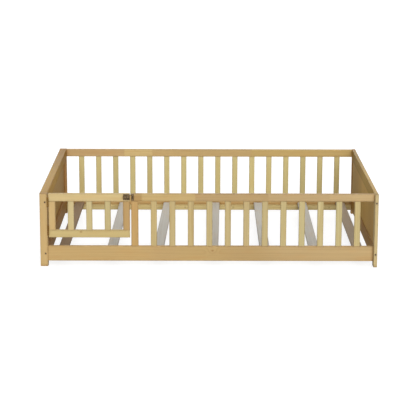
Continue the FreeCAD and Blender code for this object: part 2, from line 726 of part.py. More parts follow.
gate_top = gate_rail("gate_top_rail", "gate_top_rail_under", "gate_top_rail_high", "0", True)
hinge_screw_holes(gate_top, "gate_top_rail_under")
plate_screw_holes(gate_top, "gate_left", "gate_top_rail_under", LATCH_SCREWS)

gate_bottom = gate_rail("gate_bottom_rail", "gate_under", "gate_bottom_rail_high",
                        "gate_bottom_rail_high", False)
hinge_screw_holes(gate_bottom, "gate_under")


def gate_stile(label, x):
    """An upright of the gate, tenoned into both rails."""
    long = "gate_top_rail_under - gate_bottom_rail_top"
    stile = board(label, (x, "fence_front", "gate_bottom_rail_top"), "Z",
                  ("gate_stile_wide", "rail_thick"), long)
    tenons(stile, "gate_stile_wide", long)
    return stile


LATCH_STILE_LEFT = "gate_right - gate_stile_wide"
hinge_stile = gate_stile("gate_hinge_stile", "gate_left")
hinge_screw_holes(hinge_stile, "gate_bottom_rail_top")
latch_stile = gate_stile("gate_latch_stile", LATCH_STILE_LEFT)
plate_screw_holes(latch_stile, LATCH_STILE_LEFT, "gate_bottom_rail_top", LATCH_SCREWS)

for n in range(int(number("gate_slat_count"))):
    upright_slat(f"gate_slat_{n + 1}", f"gate_left + gate_stile_wide + gate_slat_gap + {n} * gate_pitch",
                 "fence_front + slat_face", "gate_slat_low", "gate_slat_long")

# the post's own holes for the hinges, and the holes for the keeper
left_front_post = doc.getObject("left_front_post")
post_holes = [("hinge_screw_y - front", level) for level in HINGE_SCREWS]
drill(left_front_post, "X", "left_thick", post_holes, "screw_hole_radius", SCREW_GRIP, False)
plate_screw_holes(front_top, "gate_post_left", "top_rail_under", KEEPER_SCREWS)
plate_screw_holes(gate_post, "gate_post_left", "bottom_rail_top", KEEPER_SCREWS)

# ---------------------------------------------------------------- metal primitives

TURN = {
    "X": FreeCAD.Rotation(V(0, 1, 0), 90),
    "-X": FreeCAD.Rotation(V(0, 1, 0), -90),
    "Y": FreeCAD.Rotation(V(1, 0, 0), -90),
    "-Y": FreeCAD.Rotation(V(1, 0, 0), 90),
    "Z": FreeCAD.Rotation(),
    "-Z": FreeCAD.Rotation(V(1, 0, 0), 180),
}


def block(x, y, z, wide, deep, high):
    """A rectangular block by its low corner and its sides."""
    solid = doc.addObject("Part::Box", "Block")
    place(solid, x, y, z)
    solid.setExpression("Length", linked(wide))
    solid.setExpression("Width", linked(deep))
    solid.setExpression("Height", linked(high))
    return solid


def rod(x, y, z, toward, radius, long):
    """A cylinder from a point along an axis."""
    solid = doc.addObject("Part::Cylinder", "Rod")
    solid.Placement = FreeCAD.Placement(V(), TURN[toward])
    place(solid, x, y, z)
    solid.setExpression("Radius", linked(radius))
    solid.setExpression("Height", linked(long))
    return solid


def cone(x, y, z, toward, first_radius, last_radius, long):
    solid = doc.addObject("Part::Cone", "Countersink")
    solid.Placement = FreeCAD.Placement(V(), TURN[toward])
    place(solid, x, y, z)
    solid.setExpression("Radius1", linked(first_radius))
    solid.setExpression("Radius2", linked(last_radius))
    solid.setExpression("Height", linked(long))
    return solid


def joined(name, solids):
    whole = doc.addObject("Part::MultiFuse", name)
    whole.Shapes = solids
    whole.Refine = True
    return whole


def metal(label, solids, holes=()):
    """A finished metal piece: what is joined, less what is cut away."""
    whole = joined(label if not holes else "Blank", solids) if len(solids) > 1 else solids[0]
    if holes:
        rest = whole
        whole = doc.addObject("Part::Cut", label)
        whole.Base = rest
        whole.Tool = joined("Holes", holes) if len(holes) > 1 else holes[0]
        whole.Refine = True
    whole.Label = label
    parts.append(whole)
    return whole


# ---------------------------------------------------------------- hinges


def hinge_leaf(label, level, knuckles, on_post):
    """A leaf with its own knuckles, bored for the pin and countersunk for two screws."""
    leaf_x = "left_inner" if on_post else "hinge_x + leaf_play / 2"
    low = f"{level} - hinge_high / 2"
    plate_y = "hinge_y + knuckle_radius + knuckle_play"
    plate_deep = f"fence_front + leaf_wide - ({plate_y})"
    solids = [block(leaf_x, plate_y, low, "leaf_thick", plate_deep, "hinge_high")]
    for n in knuckles:
        z = f"{low} + {n} * knuckle_pitch + knuckle_play / 2"
        solids.append(rod("hinge_x", "hinge_y", z, "Z", "knuckle_radius", "knuckle_long"))
        solids.append(block(leaf_x, "hinge_y", z, "leaf_thick", f"{plate_y} - hinge_y", "knuckle_long"))
    bore = "pin_radius" if on_post else "pin_radius + pin_play"
    holes = [rod("hinge_x", "hinge_y", low, "Z", bore, "hinge_high")]
    face = f"hinge_x {'-' if on_post else '+'} leaf_play / 2"
    toward = "-X" if on_post else "X"
    for sign in ("+", "-"):
        z = f"{level} {sign} hinge_screw_pitch / 2"
        holes.append(cone(face, "hinge_screw_y", z, toward, "screw_head_radius + hole_play",
                          "screw_hole_radius", "leaf_thick"))
    return metal(label, solids, holes)


def hinge_pin(label, level):
    """A straight pin with a domed head above and below its knuckles."""
    low = f"{level} - hinge_high / 2"
    shaft = rod("hinge_x", "hinge_y", low, "Z", "pin_radius", "hinge_high")
    top = cone("hinge_x", "hinge_y", f"{level} + hinge_high / 2", "Z",
               "knuckle_radius - knuckle_play", "pin_radius", "pin_head")
    foot = cone("hinge_x", "hinge_y", low, "-Z", "knuckle_radius - knuckle_play", "pin_radius", "pin_head")
    return metal(label, [shaft, top, foot])


for which, level in HINGES.items():
    count = int(number("knuckle_count"))
    hinge_leaf(f"{which}_hinge_post_leaf", level, range(0, count, 2), True)
    hinge_leaf(f"{which}_hinge_gate_leaf", level, range(1, count, 2), False)
    hinge_pin(f"{which}_hinge_pin", level)

# ---------------------------------------------------------------- latch


def barrel_and_plate(x, wide, plate_high, loop_x, loop_long):
    """A plate with a barrel in front of it, as both the latch and its keeper have."""
    plate_y = "fence_front - latch_plate_thick"
    return [
        block(x, plate_y, f"latch_z - {plate_high} / 2", wide, "latch_plate_thick", plate_high),
        rod(loop_x, "latch_y", "latch_z", "X", "latch_barrel_radius", loop_long),
        block(loop_x, "latch_y", "latch_z - latch_barrel_radius", loop_long,
              f"{plate_y} - latch_y", "2 * latch_barrel_radius"),
    ]


def through_holes(centres):
    """Plain screw holes through a plate on the fence face."""
    start = "fence_front - latch_plate_thick"
    return [rod(x, start, z, "Y", "screw_hole_radius", "latch_plate_thick") for x, z in centres]


slot_half = "(knob_stem_radius + slot_play)"
metal(
    "latch_body",
    barrel_and_plate("latch_left", "latch_wide", "latch_high", "latch_left", "latch_wide"),
    [
        rod("latch_left", "latch_y", "latch_z", "X", "latch_bore_radius", "latch_wide"),
        block(f"knob_x - {slot_half}", "latch_y - 2 * latch_barrel_radius", f"latch_z - {slot_half}",
              f"bolt_throw + 2 * {slot_half}", "2 * latch_barrel_radius", f"2 * {slot_half}"),
    ] + through_holes(LATCH_SCREWS),
)
metal(
    "latch_keeper",
    barrel_and_plate("keeper_left", "keeper_wide", "keeper_high",
                     "keeper_left + keeper_wide / 2 - keeper_loop / 2", "keeper_loop"),
    [
        rod("keeper_left", "latch_y", "latch_z", "X", "latch_bore_radius", "keeper_wide"),
    ] + through_holes(KEEPER_SCREWS),
)
metal(
    "latch_bolt",
    [
        rod("bolt_left", "latch_y", "latch_z", "X", "bolt_radius", "bolt_long"),
        rod("knob_x", "latch_y", "latch_z", "-Y", "knob_stem_radius", "knob_out - knob_head / 2"),
        rod("knob_x", "latch_y - knob_out + knob_head", "latch_z", "-Y", "knob_radius", "knob_head"),
    ],
)

# ---------------------------------------------------------------- fasteners


def at(text):
    """Today's value of a sum of sizes and places, by way of a scratch cell."""
    places.set("D1", "=" + linked_here(text))
    places.recompute()
    return float(places.get("D1"))


def point(x, y, z):
    return V(at(x), at(y), at(z))


def hexagon(radius, deep):
    """A six-sided plug, to sink a socket with."""
    corners = [V(radius, 0, 0)]
    turn = FreeCAD.Rotation(V(0, 0, 1), 60)
    for n in range(6):
        corners.append(turn.multVec(corners[-1]))
    corners[-1] = corners[0]
    return Part.Face(Part.makePolygon(corners)).extrude(V(0, 0, deep))


def cross(reach, top):
    """The driver's cross in a screw head, down from its top."""
    wide, deep = number("cross_wide"), number("cross_deep")
    arms = [Part.makeBox(a, b, deep, V(-a / 2, -b / 2, top - deep))
            for a, b in ((2 * reach, wide), (wide, 2 * reach))]
    return arms[0].fuse(arms[1]).removeSplitter()


def pan_screw(long):
    """A small screw: a low round head on +Z over a shank."""
    radius, high = number("screw_head_radius"), number("screw_head_high")
    head = Part.makeCylinder(radius, high).cut(cross(radius * number("cross_reach"), high))
    shank = Part.makeCylinder(number("screw_radius"), long, V(0, 0, -long))
    return head.fuse(shank).removeSplitter()


def flat_screw(head_radius, head_high, shank_radius, long):
    """A countersunk screw whose flat head ends at z = 0."""
    head = Part.makeCone(shank_radius, head_radius, head_high, V(0, 0, -head_high))
    shank = Part.makeCylinder(shank_radius, long, V(0, 0, -long))
    return head.fuse(shank).cut(cross(head_radius * number("cross_reach"), 0)).removeSplitter()


def socket_bolt(long):
    """A bolt with a socket head: the underside of the head at z = 0."""
    head = Part.makeCylinder(number("bolt_head_radius"), number("bolt_head_high"))
    plug = hexagon(number("socket_radius"), number("socket_deep"))
    plug.translate(V(0, 0, number("bolt_head_high") - number("socket_deep")))
    shank = Part.makeCylinder(number("frame_bolt_radius"), long, V(0, 0, -long))
    return head.cut(plug).fuse(shank).removeSplitter()


def set_at(shape, where, away):
    """A fastener whose head points along an axis, at a point."""
    shape.Placement = FreeCAD.Placement(where, TURN[away])
    return shape


def post_bolts():
    """The bolts through the posts into the rails of the ends."""
    bolts = []
    deep = number("counterbore_deep")
    grip = number("post_bolt_grip") - deep
    for end in ENDS.values():
        for level in ("post_bolt_low", "post_bolt_high"):
            front = V(number(end["bolt"]), number(end["front"]) + deep, number(level))
            rear = V(number(end["bolt"]), number("back") - deep, number(level))
            bolts.append(set_at(socket_bolt(number(end["front_deep"]) + grip), front, "-Y"))
            bolts.append(set_at(socket_bolt(number("post_deep") + grip), rear, "Y"))
    grouped("post_bolts", bolts)


RAIL_BOLTS = [
    ("left", "fence_front", "rail_bolt_low"), ("left", "fence_front", "rail_bolt_mid"),
    ("left", "fence_back_in", "rail_bolt_low"), ("left", "fence_back_in", "rail_bolt_mid"),
    ("left", "fence_back_in", "rail_bolt_top"),
    ("right", "fence_front", "rail_bolt_low"), ("right", "fence_front", "rail_bolt_mid"),
    ("right", "fence_front", "rail_bolt_top"),
    ("right", "fence_back_in", "rail_bolt_low"), ("right", "fence_back_in", "rail_bolt_mid"),
    ("right", "fence_back_in", "rail_bolt_top"),
]


def rail_bolts():
    """The bolts through the ends into the rails of the fences."""
    bolts = []
    deep = number("counterbore_deep")
    for side, fence, level in RAIL_BOLTS:
        thick = number(f"{side}_thick")
        long = thick - deep + number("nut_inset") + number("bolt_past_nut")
        inward = 1 if side == "left" else -1
        x = number(f"{side}_outer") + inward * deep
        y = number(fence) + number("rail_thick") / 2
        bolts.append(set_at(socket_bolt(long), V(x, y, number(level)), "-X" if side == "left" else "X"))
    grouped("rail_bolts", bolts)


def barrel_nuts():
    """The cross nuts in the rails, each with its bolt through it."""
    nuts = []
    for side, fence, level in RAIL_BOLTS:
        inward = 1 if side == "left" else -1
        x = number(f"{side}_inner") + inward * number("nut_inset")
        y = number(fence) + number("rail_thick") - number("nut_sunk")
        radius = number("nut_radius")
        nut = Part.makeCylinder(radius, number("nut_long"), V(), V(0, -1, 0))
        middle = number("rail_thick") / 2 - number("nut_sunk")
        hole = Part.makeCylinder(number("bolt_hole_radius"), 2 * radius, V(-radius, -middle, 0), V(1, 0, 0))
        nut = nut.cut(hole)
        nut.translate(V(x, y, number(level)))
        nuts.append(nut)
    grouped("barrel_nuts", nuts)


def floor_screws():
    """The screws down through the floor slats and along the ledges."""
    head = (number("deck_screw_head_radius"), number("deck_screw_head_high"), number("deck_screw_radius"))
    screws = []
    for n in range(int(number("floor_slat_count"))):
        for along in SLAT_ENDS.values():
            screw = flat_screw(*head, number("slat_screw_long"))
            screws.append(set_at(screw, point(*on_slat(n, "0", along), "deck_top"), "Z"))
    for n in range(int(number("ledge_screw_count"))):
        x = at(f"left_inner + ledge_screw_end + {n} * ledge_screw_pitch")
        for y, away in (("fence_front_in + ledge_deep", "Y"), ("fence_back_in - ledge_deep", "-Y")):
            screw = flat_screw(*head, number("ledge_screw_long"))
            screws.append(set_at(screw, V(x, at(y), number("ledge_screw_z")), away))
    grouped("floor_screws", screws)


def hinge_screw(x_face, level, away):
    """A countersunk screw flush with a hinge leaf."""
    long = number("screw_long") + number("leaf_thick")
    screw = flat_screw(number("screw_head_radius"), number("leaf_thick"), number("screw_radius"), long)
    return set_at(screw, point(x_face, "hinge_screw_y", level), away)


def plate_screws(centres):
    """Pan head screws on a plate of the latch."""
    screws = []
    for x, z in centres:
        screw = pan_screw(number("screw_long") + number("latch_plate_thick"))
        screws.append(set_at(screw, point(x, "fence_front - latch_plate_thick", z), "-Y"))
    return screws


post_bolts()
rail_bolts()
barrel_nuts()
floor_screws()
grouped("post_hinge_screws",
        [hinge_screw("hinge_x - leaf_play / 2", level, "X") for level in HINGE_SCREWS]
        + plate_screws(KEEPER_SCREWS))
grouped("gate_hinge_screws",
        [hinge_screw("hinge_x + leaf_play / 2", level, "-X") for level in HINGE_SCREWS]
        + plate_screws(LATCH_SCREWS))

# ---------------------------------------------------------------- check and write

doc.recompute()

for thing in doc.Objects:
    if "Invalid" in thing.State or "Error" in thing.State:
        raise RuntimeError(f"{thing.Label} failed: {thing.State}")
for part in parts:
    if part.Shape.isNull() or not part.Shape.isValid():
        raise RuntimeError(f"{part.Label} has no valid shape")

os.makedirs("parts", exist_ok=True)
for part in parts:
    part.Shape.exportStep(f"parts/{part.Label}.step")
print(len(parts), "pieces written")
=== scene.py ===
"""A low wooden floor bed with a fence, a gate and a slatted floor: its finishes and its setting.

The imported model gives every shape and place. Each operator here gives one group of pieces its
finish, and the last one sets the floor, the lamps and the camera.
"""

import collections
import math

import bpy
from bpy.props import FloatProperty, FloatVectorProperty, PointerProperty
from mathutils import Matrix, Vector


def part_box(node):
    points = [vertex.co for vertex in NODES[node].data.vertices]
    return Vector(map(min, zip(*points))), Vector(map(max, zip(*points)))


bl_info = {
    "name": "Floor Bed Finishes",
    "version": (1, 0, 0),
    "blender": (4, 5, 0),
    "location": "3D View > Sidebar > Floor Bed",
    "description": "Finishes and setting of a low wooden floor bed with a fence and a gate",
    "category": "Material",
}

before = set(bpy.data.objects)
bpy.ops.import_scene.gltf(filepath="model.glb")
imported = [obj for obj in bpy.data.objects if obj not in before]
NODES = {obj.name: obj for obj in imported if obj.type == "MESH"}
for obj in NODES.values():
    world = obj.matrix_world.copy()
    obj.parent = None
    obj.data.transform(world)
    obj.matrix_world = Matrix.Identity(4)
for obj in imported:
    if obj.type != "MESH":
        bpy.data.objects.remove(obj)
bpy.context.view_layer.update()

# ---------------------------------------------------------------- settings


def paint(red, green, blue):
    """A colour as a paint chart gives it, from 0 to 255, in the renderer's linear light."""
    def linear(level):
        level /= 255
        return level / 12.92 if level <= 0.04045 else ((level + 0.055) / 1.055) ** 2.4
    return linear(red), linear(green), linear(blue)


def colour(name, description, default):
    return FloatVectorProperty(name=name, description=description, subtype="COLOR", size=3,
                               min=0, max=1, default=default)


def length(name, description, default):
    return FloatProperty(name=name, description=description, unit="LENGTH", min=0,
                         precision=5, default=default)


def share(name, description, default):
    return FloatProperty(name=name, description=description, subtype="FACTOR", min=0, max=1,
                         default=default)


class FloorBedTimber(bpy.types.PropertyGroup):
    """The colours of the boards and the way they are sawn."""

    left_post: colour("Left post", "Lacquered front post at the gate end", paint(199, 170, 119))
    right_post: colour("Right post", "Lacquered front post at the far end", paint(198, 179, 134))
    rear_post: colour("Rear posts", "Lacquered posts at the back", paint(188, 151, 100))
    gate_post: colour("Gate post", "Warm lacquered post that the gate closes on", paint(194, 160, 107))
    fence_rail: colour("Fence rails", "Lacquered rails of the front fence", paint(192, 162, 114))
    back_rail: colour("Back rails", "Lacquered rails of the back fence", paint(194, 166, 116))
    left_top_rail: colour("Left top rail", "Top rail of the gate end", paint(168, 135, 69))
    right_top_rail: colour("Right top rail", "Top rail of the far end", paint(178, 149, 85))
    # The low rails are darker and browner than the panels: partly the timber's colour, partly painted
    # shade from low inside the ends.
    left_low_rail: colour("Left low rail", "Bottom rail of the gate end", paint(160, 121, 64))
    right_low_rail: colour("Right low rail", "Bottom rail of the far end", paint(174, 134, 70))
    left_panel: colour("Left panel", "Panel of the gate end", paint(174, 141, 86))
    right_panel: colour("Right panel", "Panel of the far end", paint(192, 158, 93))
    slat: colour("Fence slats", "Paler, yellower upright slats", paint(201, 183, 133))
    back_slat: colour("Back slats", "Slats of the back fence", paint(199, 185, 132))
    gate_slat: colour("Gate slats", "Upright slats of the gate", paint(206, 189, 142))
    gate_rail: colour("Gate rails", "Pale lacquered rails of the gate", paint(209, 187, 137))
    hinge_stile: colour("Hinge stile", "Upright of the gate at its hinges", paint(203, 175, 124))
    latch_stile: colour("Latch stile", "Warmer upright of the gate at its latch", paint(183, 152, 104))
    ledge: colour("Ledges", "Planed ledges that carry the floor", paint(206, 186, 132))
    floor_slat: colour("Floor slats", "Bare pale floor slats", paint(211, 209, 203))
    left_floor_slat: colour("Left floor slat", "Browner floor slat at the gate end", paint(164, 143, 119))
    right_floor_slat: colour("Right floor slat", "Browner floor slat at the far end", paint(193, 180, 163))
    ring_gap: length("Ring gap", "Distance between the growth rings", 0.0052)
    figure: share("Figure", "How far the rings stand out", 0.4)
    knots: share("Knots", "How dark the knots are", 0.5)
    blush: share("Blush", "How far warm patches stand out", 0.55)
    drift_reach: length("Drift reach", "Half the distance over which a board changes colour", 0.1)
    joint: share("Joint lines", "How dark the line of a finger joint is", 0.25)
    lacquer: share("Lacquer roughness", "Roughness of the lacquered boards", 0.55)
    bare: share("Bare roughness", "Roughness of the bare boards", 0.72)
    relief: length("Grain relief", "Height of the grain under the lacquer", 0.00018)
    # Edge width and Edge line set painted shade: a darker band along the rounded edges of the boards.
    edge_width: length("Edge width", "Width of the darker band along an edge", 0.007)
    edge_line: share("Edge line", "How far the lacquer darkens along the edges", 0.75)
    # Corner reach and Ledge reach set how far the painted shade in the corners spreads.
    corner_reach: length("Corner reach", "How far shade gathers from a joint", 0.025)
    ledge_reach: length("Ledge reach", "How far shade gathers on the narrow ledges", 0.008)


class FloorBedMetal(bpy.types.PropertyGroup):
    """The colours of the hinges, the latch and the fasteners."""

    bronze: colour("Bronze", "Dark coating of the latch", paint(70, 54, 33))
    bronze_worn: colour("Worn bronze", "Metal that shows where the latch is rubbed", paint(148, 128, 98))
    brass: colour("Brown brass", "Tarnished brass of the hinges", paint(106, 75, 30))
    brass_worn: colour("Worn brass", "Brass that shows where the hinges rub", paint(170, 136, 74))
    black: colour("Blackened steel", "Blackened bolts of the frame", paint(60, 43, 29))
    black_worn: colour("Rubbed steel", "Steel that shows on the rims of the bolts", paint(110, 98, 84))
    yellow_zinc: colour("Yellow zinc", "Plating of the deck screws", paint(150, 124, 74))
    yellow_zinc_worn: colour("Bright yellow zinc", "Plating rubbed bright", paint(196, 176, 126))


class FloorBedStage(bpy.types.PropertyGroup):
    """The camera, the lamps and the floor."""

    lens: FloatProperty(name="Lens", description="Focal length", unit="CAMERA", default=135.233)
    camera_place: FloatVectorProperty(name="Camera place", description="Where the camera stands",
                                      subtype="TRANSLATION", size=3,
                                      default=(-0.06892, -9.69393, 2.41801))
    pitch: FloatProperty(name="Pitch", description="How far the camera looks down",
                         subtype="ANGLE", default=math.radians(12.92))
    yaw: FloatProperty(name="Yaw", description="How far the camera turns to the right",
                       subtype="ANGLE", default=math.radians(0.40))
    roll: FloatProperty(name="Roll", description="How far the camera tilts to its left",
                        subtype="ANGLE", default=math.radians(0.21))
    key: FloatProperty(name="Key", description="Strength of the wide far lamp in front", default=2.66)
    back: FloatProperty(name="Back", description="Strength of the wide far lamp behind", default=1.7)
    side: FloatProperty(name="Sides", description="Power of the low lamps beside the ends",
                        unit="POWER", default=22)
    sky: FloatProperty(name="Sky", description="Strength of the even light", default=0.3)
    floor: colour("Floor", "Floor, as it lights the bed from below", paint(148, 148, 148))
    floor_lift: share("Floor lift", "White added to the floor as the camera sees it", 0.8)


# ---------------------------------------------------------------- node trees


def feed(tree, socket, value):
    """Links an output to a socket, or sets the socket's own value."""
    if isinstance(value, bpy.types.NodeSocket):
        tree.links.new(value, socket)
    elif value is not None:
        socket.default_value = value


def put(tree, kind, *values, **settings):
    """Adds a node with these options, and feeds its inputs in order."""
    node = tree.nodes.new("ShaderNode" + kind)
    for name, value in settings.items():
        setattr(node, name, value)
    for socket, value in zip(node.inputs, values):
        feed(tree, socket, value)
    return node


def sums(tree, operation, *values):
    """One step of arithmetic on numbers."""
    return put(tree, "Math", *values, operation=operation).outputs[0]


def arrows(tree, operation, *values):
    """One step of arithmetic on vectors."""
    node = put(tree, "VectorMath", *values, operation=operation)
    return node.outputs["Value" if operation == "DOT_PRODUCT" else "Vector"]


def ramp(tree, value, start, stop, low=0.0, high=1.0):
    """A smooth step from low at start to high at stop."""
    return put(tree, "MapRange", value, start, stop, low, high,
               interpolation_type="SMOOTHSTEP").outputs[0]


def mixed(tree, factor, first, second, way="MIX"):
    """Two colours, blended or put together in another way."""
    node = put(tree, "Mix", data_type="RGBA", blend_type=way)
    feed(tree, node.inputs["Factor"], factor)
    feed(tree, node.inputs[6], opaque(first))
    feed(tree, node.inputs[7], opaque(second))
    return node.outputs[2]


def tinted(tree, base, tint):
    """A colour times another."""
    return mixed(tree, 1.0, base, tint, "MULTIPLY")


def opaque(value):
    """A colour with its alpha, where it is given as three numbers."""
    return value if isinstance(value, bpy.types.NodeSocket) else (*tuple(value)[:3], 1.0)


def about_nought(tree, chance, span):
    """A chance from 0 to 1 as a number from minus to plus half the span."""
    return sums(tree, "MULTIPLY_ADD", chance, span, -span / 2)


def speckle(tree, place, stretch, detail=2.0):
    """Noise from 0 to 1, with so many waves per metre along each axis."""
    scaled = arrows(tree, "MULTIPLY", place, stretch)
    node = put(tree, "TexNoise", scaled)
    node.inputs["Scale"].default_value = 1.0
    node.inputs["Detail"].default_value = detail
    return node.outputs[0]


def arrange(tree):
    """Lays the nodes out in columns, each to the right of what feeds it."""
    columns = {}

    def column(node):
        if node.name not in columns:
            feeding = [link.from_node for socket in node.inputs for link in socket.links]
            columns[node.name] = 1 + max(map(column, feeding), default=-1)
        return columns[node.name]

    filled = collections.Counter()
    for node in tree.nodes:
        place = column(node)
        node.location = (place * 220, -filled[place] * 260)
        filled[place] += 1


def new_group(name, inputs, outputs):
    """An empty node group with named sockets, what it is given and what it hands on."""
    tree = bpy.data.node_groups.new(name, "ShaderNodeTree")
    for label, kind, default in inputs:
        socket = tree.interface.new_socket(label, in_out="INPUT", socket_type="NodeSocket" + kind)
        socket.default_value = default
    for label, kind in outputs:
        tree.interface.new_socket(label, in_out="OUTPUT", socket_type="NodeSocket" + kind)
    given = tree.nodes.new("NodeGroupInput").outputs
    wanted = tree.nodes.new("NodeGroupOutput").inputs
    return tree, given, wanted


def grouped(tree, build, **values):
    """Places a node group in a tree, and builds it the first time."""
    title = build.__name__.replace("_", " ").capitalize()
    shared = bpy.data.node_groups.get(title)
    if shared is None:
        shared = build(title)
        arrange(shared)
    node = put(tree, "Group", node_tree=shared)
    for label, value in values.items():
        socket = node.inputs[label.replace("_", " ").capitalize()]
        feed(tree, socket, opaque(value) if socket.type == "RGBA" else value)
    return node.outputs


# ---------------------------------------------------------------- effects

# What the colour of a board is multiplied by in each kind of place.
EARLY_WOOD = (1.06, 1.05, 1.03)
LATE_WOOD = (0.80, 0.68, 0.52)
WARM_WOOD = (1.02, 0.93, 0.84)
KNOT_WOOD = (0.62, 0.42, 0.28)
END_GRAIN = (0.80, 0.72, 0.62)
GLUE = (0.55, 0.42, 0.30)
# Painted shade along the rounded edges of the boards.
PAINTED_EDGE_TINT = (0.60, 0.55, 0.54)
# Painted shade where boards meet.
PAINTED_CORNER_TINT = (0.62, 0.50, 0.38)

# Knots, in metres.
KNOT_CELLS = 4.2  # cells in a metre, each with a place for one knot
KNOTLESS = 0.66  # the share of the cells that hold none
KNOT_LEAST = 0.003  # radius of the smallest
KNOT_SPAN = 0.004  # how much larger the largest is
KNOT_RIM = 0.003  # width of the darker ring around a knot
RING_REACH = 0.02  # how far from a knot the growth rings bend
RING_BULGE = 0.011  # how far they bend beside it

# How a board lies in its log, in metres.
LOG_SIDE = 40  # each board is cut from its own place in so large a block of wood
HEART_ACROSS = 0.12  # the width in which the heart lies, about the board's middle
HEART_NEAR = 0.015  # the least depth of the heart behind the board's middle
HEART_SPAN = 0.06  # how much deeper it may lie
HEART_SLOPE = 0.02  # how much its depth may change in a metre
RING_WANDER = 0.03  # how far the rings wander to the side

# Waves of noise in a metre, along, across and through a board.
WANDER_WAVES = (1.2, 7, 7)
FIBRE_WAVES = (9, 520, 520)
STREAK_WAVES = (1.3, 48, 48)
CLOUD_WAVES = (1.1, 2, 2)
BLUSH_WAVES = (7, 26, 26)

# Lengths of timber glued end to end with finger joints, in metres.
MOST_LENGTHS = 5
PAST_THE_BED = 9.0  # the start of a length that isn't there
FINGER_WIDE = 0.004
FINGER_SLOPE = 2.4  # how long a finger is for its width
GLUE_BLEND = 0.0003  # half the distance over which the colour changes
GLUE_WIDE = 0.0006  # half the width of the dark line

# What a group asks of a board: its middle, the way its grain runs and the way its face is wide.
BOARD_SOCKETS = [("Middle", "Vector", (0, 0, 0)), ("Along", "Vector", (1, 0, 0)),
                 ("Across", "Vector", (0, 1, 0))]


def place_in_board(tree, given):
    """Where a point lies in its board: X along the grain, Y across the face, Z through it."""
    where = put(tree, "TexCoord").outputs["Object"]
    offset = arrows(tree, "SUBTRACT", where, given["Middle"])
    through = arrows(tree, "CROSS_PRODUCT", given["Along"], given["Across"])
    place = put(tree, "CombineXYZ",
                arrows(tree, "DOT_PRODUCT", offset, given["Along"]),
                arrows(tree, "DOT_PRODUCT", offset, given["Across"]),
                arrows(tree, "DOT_PRODUCT", offset, through))
    return place.outputs[0]


def nearest_board(tree, first, pitch):
    """Which board of an evenly spaced row along X a point is on, and the middle of that board."""
    where = put(tree, "TexCoord").outputs["Object"]
    offset = arrows(tree, "SUBTRACT", where, first)
    along = put(tree, "SeparateXYZ", offset).outputs[0]
    number = sums(tree, "ROUND", sums(tree, "DIVIDE", along, pitch))
    step = put(tree, "CombineXYZ", sums(tree, "MULTIPLY", number, pitch)).outputs[0]
    return number, arrows(tree, "ADD", first, step)


def glued_lengths(title):
    """The tone of up to five lengths of a board, blended or glued, and which one a point is on."""
    later = range(2, MOST_LENGTHS + 1)
    tree, given, wanted = new_group(
        title,
        BOARD_SOCKETS
        + [("Tone", "Color", (0.6, 0.4, 0.2, 1)), ("Joint", "Float", 0.25),
           ("Blend", "Float", GLUE_BLEND), ("Shade 1", "Color", (1, 1, 1, 1))]
        + [(f"Start {n}", "Float", PAST_THE_BED) for n in later]
        + [(f"Shade {n}", "Color", (1, 1, 1, 1)) for n in later],
        [("Tone", "Color"), ("Number", "Float")])
    along, across, _ = put(tree, "SeparateXYZ", place_in_board(tree, given)).outputs
    finger = sums(tree, "PINGPONG", across, FINGER_WIDE)
    cut = sums(tree, "MULTIPLY_ADD", finger, FINGER_SLOPE, along)
    blend = given["Blend"]
    before = sums(tree, "MULTIPLY", blend, -1.0)
    shade, number, line = given["Shade 1"], 0.0, 0.0
    for n in later:
        past = sums(tree, "SUBTRACT", cut, given[f"Start {n}"])
        shade = mixed(tree, ramp(tree, past, before, blend), shade, given[f"Shade {n}"])
        number = sums(tree, "ADD", number, sums(tree, "GREATER_THAN", past, 0.0))
        near = ramp(tree, sums(tree, "ABSOLUTE", past), 0, GLUE_WIDE, 1, 0)
        line = sums(tree, "MAXIMUM", line, near)
    tone = tinted(tree, given["Tone"], shade)
    glued = sums(tree, "MULTIPLY", line, given["Joint"])
    feed(tree, wanted["Tone"], mixed(tree, glued, tone, tinted(tree, tone, GLUE)))
    feed(tree, wanted["Number"], number)
    return tree


